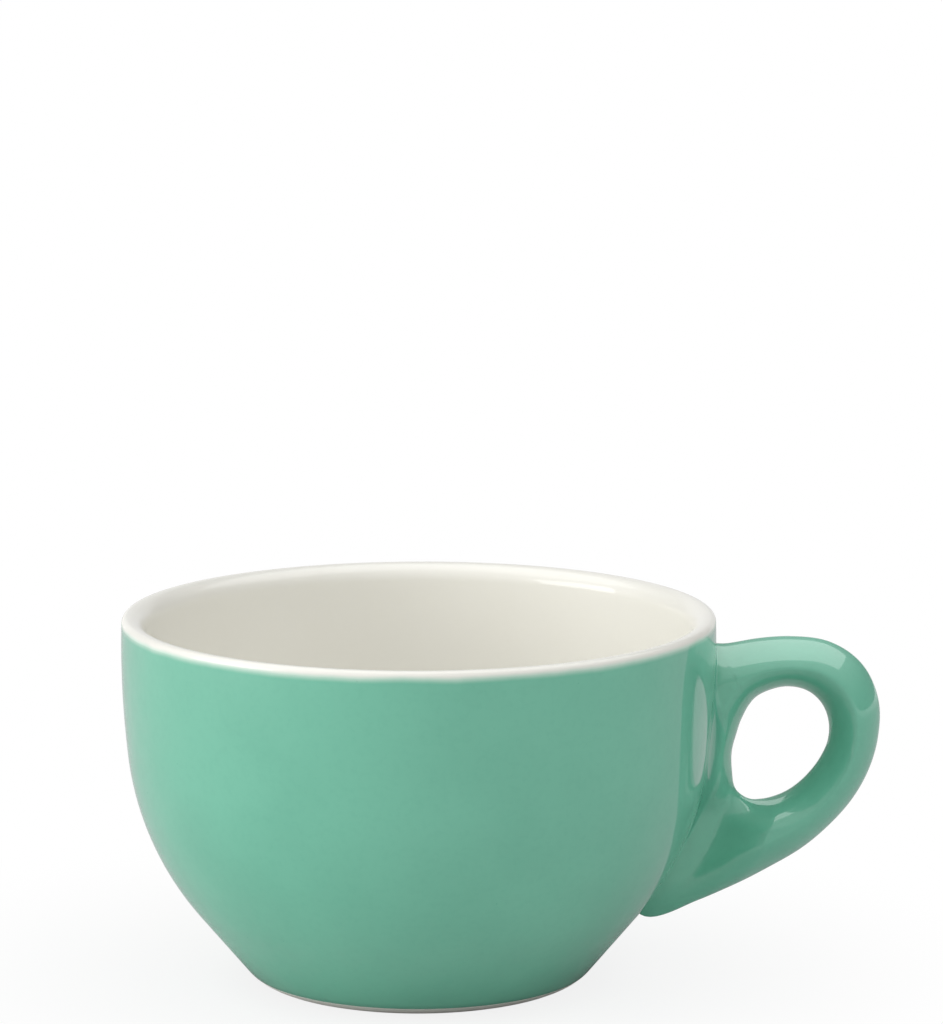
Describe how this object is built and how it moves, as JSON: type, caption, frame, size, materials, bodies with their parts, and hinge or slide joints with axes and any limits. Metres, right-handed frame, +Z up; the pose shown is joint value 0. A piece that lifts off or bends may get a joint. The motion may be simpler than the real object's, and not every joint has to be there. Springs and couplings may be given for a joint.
{
  "type": "coffee cup",
  "caption": "Wide, low porcelain coffee cup on a foot ring, jade green outside and white inside and over the lip, with a cast loop handle for a finger.",
  "frame": {"origin": "middle of the foot ring's flat face, on the table under the bowl's axis", "axes": "+Z up along the bowl's axis, +X towards the handle"},
  "size_m": [0.1151, 0.09, 0.0562],
  "materials": {
    "porcelain": "bare fired clay, smooth and matt",
    "fired_slip": "matt",
    "white_glaze": "glossy, warm white",
    "green_glaze": "glossy, jade green"
  },
  "bodies": {
    "root": {"bowl": "porcelain", "handle": "porcelain", "handle_slip_joint": "fired_slip", "inner_glaze": "white_glaze", "outer_glaze": "green_glaze", "handle_glaze": "green_glaze", "base_glaze": "white_glaze"}
  },
  "joints": []
}
